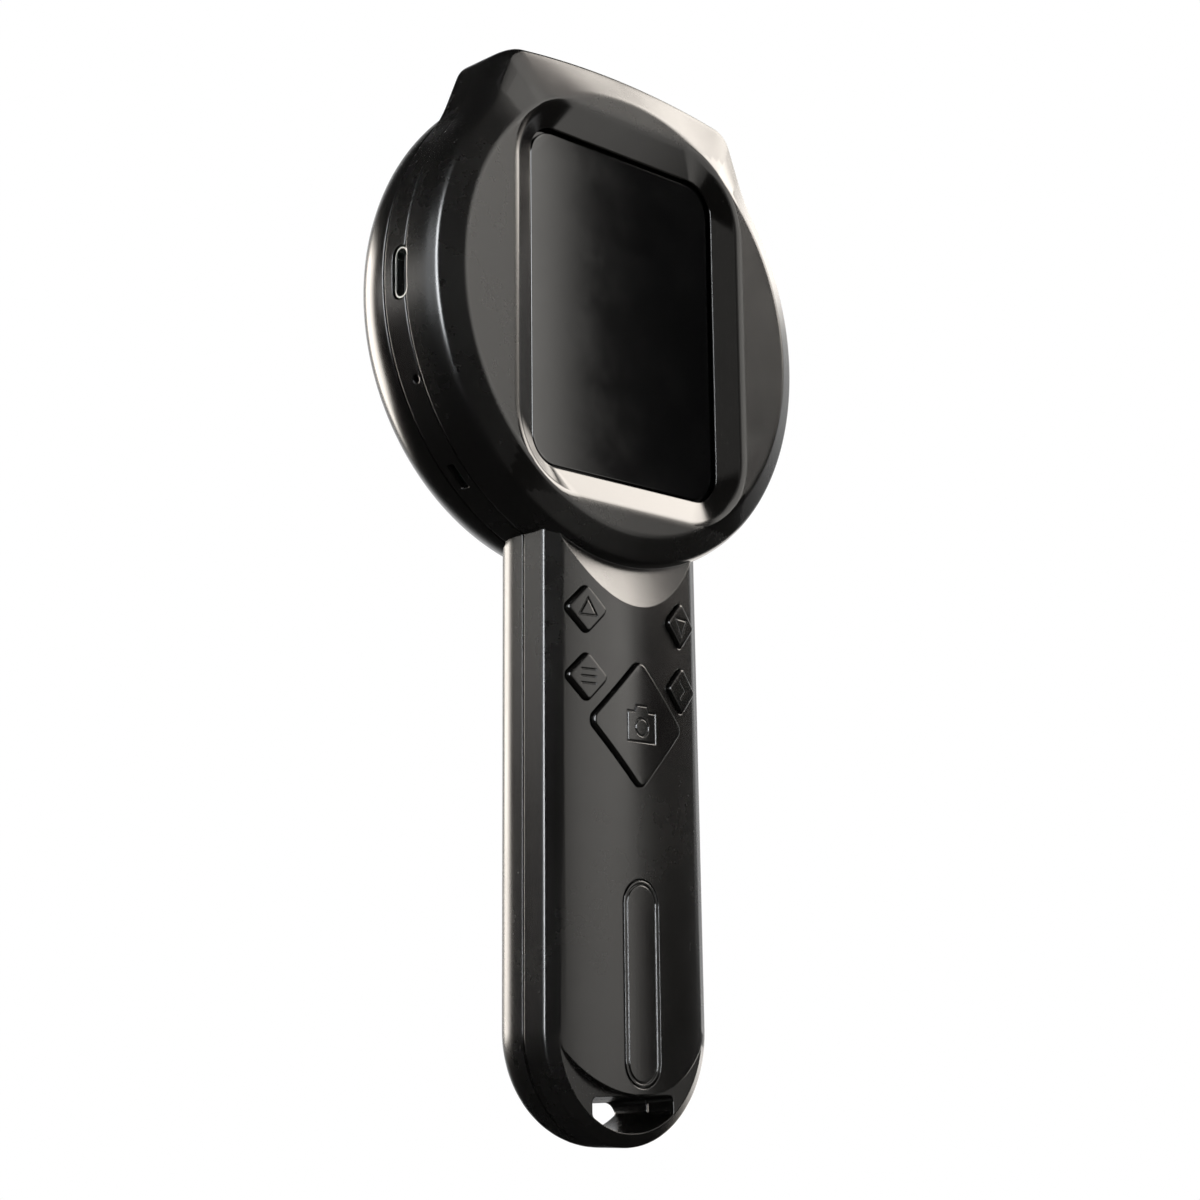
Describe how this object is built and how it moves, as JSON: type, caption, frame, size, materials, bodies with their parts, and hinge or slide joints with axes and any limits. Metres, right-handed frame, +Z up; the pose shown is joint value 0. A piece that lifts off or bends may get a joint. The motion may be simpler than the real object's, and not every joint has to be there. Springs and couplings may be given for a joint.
{
  "type": "digital magnifier",
  "caption": "Handheld digital magnifier: a round head with a sunk screen and a lit lens behind it, on a grip with diamond-shaped keys and a lanyard slot.",
  "frame": {"origin": "middle of the handle, where the hand closes round it", "axes": "+X to the right of the user who looks at the screen, +Y away from the user, +Z up the handle to the head"},
  "size_m": [0.0908, 0.0384, 0.1894],
  "materials": {
    "front_shell": "satin black moulding",
    "rear_shell": "satin black moulding",
    "rear_cover": "smooth black moulding",
    "lens_hood": "satin black moulding",
    "handle_inlay": "smooth black, bare",
    "display_window": "dark cover glass with a black border",
    "light_window": "clear ring over the lights",
    "indicator_lens": "translucent light guide",
    "window_gasket": "black foam",
    "lcd_panel": "dark display panel",
    "lcd_backlight": "white light guide",
    "lcd_bracket": "stamped sheet",
    "lcd_flex": "amber flat cable",
    "board_link": "amber flat cable",
    "main_board": "green circuit board",
    "keypad_board": "green circuit board",
    "main_processor": "black chip package",
    "memory_chip": "black chip package",
    "image_sensor": "sensor package",
    "card_socket": "stamped tinned sheet",
    "usb_shell": "drawn tinned sheet",
    "usb_tongue": "black insulator",
    "status_led": "white light package",
    "reset_switch": "black switch body",
    "reset_plunger": "light grey plunger",
    "filter_glass": "infrared filter",
    "lens_mount": "black lens holder",
    "lens_barrel": "black barrel",
    "relay_lens": "clear lens",
    "objective_lens": "clear lens",
    "led_board": "white ring board with its lights",
    "led_leads": "yellow twin lead",
    "battery": "wrapped cell",
    "battery_pad": "black foam",
    "battery_leads": "red twin lead",
    "key_upper_left": "satin black key",
    "plunger_upper_left": "black plunger",
    "switch_upper_left": "grey switch body",
    "key_lower_left": "satin black key",
    "plunger_lower_left": "black plunger",
    "switch_lower_left": "grey switch body",
    "key_upper_right": "satin black key",
    "plunger_upper_right": "black plunger",
    "switch_upper_right": "grey switch body",
    "key_lower_right": "satin black key",
    "plunger_lower_right": "black plunger",
    "switch_lower_right": "grey switch body",
    "key_capture": "satin black key",
    "plunger_capture": "black plunger",
    "switch_capture": "grey switch body",
    "head_screw_1": "plated steel",
    "head_screw_2": "plated steel",
    "head_screw_3": "plated steel",
    "head_screw_4": "plated steel",
    "handle_screw_1": "plated steel",
    "handle_screw_2": "plated steel",
    "lens_screw_1": "plated steel",
    "lens_screw_2": "plated steel"
  },
  "bodies": {
    "housing": {"front_shell": "front_shell", "rear_shell": "rear_shell", "rear_cover": "rear_cover", "lens_hood": "lens_hood", "handle_inlay": "handle_inlay", "display_window": "display_window", "light_window": "light_window", "indicator_lens": "indicator_lens", "window_gasket": "window_gasket", "lcd_panel": "lcd_panel", "lcd_backlight": "lcd_backlight", "lcd_bracket": "lcd_bracket", "lcd_flex": "lcd_flex", "board_link": "board_link", "main_board": "main_board", "keypad_board": "keypad_board", "main_processor": "main_processor", "memory_chip": "memory_chip", "image_sensor": "image_sensor", "card_socket": "card_socket", "usb_shell": "usb_shell", "usb_tongue": "usb_tongue", "status_led": "status_led", "reset_switch": "reset_switch", "filter_glass": "filter_glass", "lens_mount": "lens_mount", "lens_barrel": "lens_barrel", "relay_lens": "relay_lens", "objective_lens": "objective_lens", "led_board": "led_board", "led_leads": "led_leads", "battery": "battery", "battery_pad": "battery_pad", "battery_leads": "battery_leads", "switch_upper_left": "switch_upper_left", "switch_lower_left": "switch_lower_left", "switch_upper_right": "switch_upper_right", "switch_lower_right": "switch_lower_right", "switch_capture": "switch_capture", "head_screw_1": "head_screw_1", "head_screw_2": "head_screw_2", "head_screw_3": "head_screw_3", "head_screw_4": "head_screw_4", "handle_screw_1": "handle_screw_1", "handle_screw_2": "handle_screw_2", "lens_screw_1": "lens_screw_1", "lens_screw_2": "lens_screw_2"},
    "upper_left_key": {"key_upper_left": "key_upper_left", "plunger_upper_left": "plunger_upper_left"},
    "lower_left_key": {"key_lower_left": "key_lower_left", "plunger_lower_left": "plunger_lower_left"},
    "upper_right_key": {"key_upper_right": "key_upper_right", "plunger_upper_right": "plunger_upper_right"},
    "lower_right_key": {"key_lower_right": "key_lower_right", "plunger_lower_right": "plunger_lower_right"},
    "capture_key": {"key_capture": "key_capture", "plunger_capture": "plunger_capture"},
    "reset": {"reset_plunger": "reset_plunger"}
  },
  "joints": [
    {"name": "upper_left_press", "type": "slide", "parent": "housing", "child": "upper_left_key", "axis": [0, 1, 0], "range_m": [0, 0.0005], "stiffness_N_per_m": 2000},
    {"name": "lower_left_press", "type": "slide", "parent": "housing", "child": "lower_left_key", "axis": [0, 1, 0], "range_m": [0, 0.0005], "stiffness_N_per_m": 2000},
    {"name": "upper_right_press", "type": "slide", "parent": "housing", "child": "upper_right_key", "axis": [0, 1, 0], "range_m": [0, 0.0005], "stiffness_N_per_m": 2000},
    {"name": "lower_right_press", "type": "slide", "parent": "housing", "child": "lower_right_key", "axis": [0, 1, 0], "range_m": [0, 0.0005], "stiffness_N_per_m": 2000},
    {"name": "capture_press", "type": "slide", "parent": "housing", "child": "capture_key", "axis": [0, 1, 0], "range_m": [0, 0.0005], "stiffness_N_per_m": 2000},
    {"name": "reset_press", "type": "slide", "parent": "housing", "child": "reset", "axis": [0.9157, 0, 0.4019], "range_m": [0, 0.00025], "stiffness_N_per_m": 1000}
  ]
}
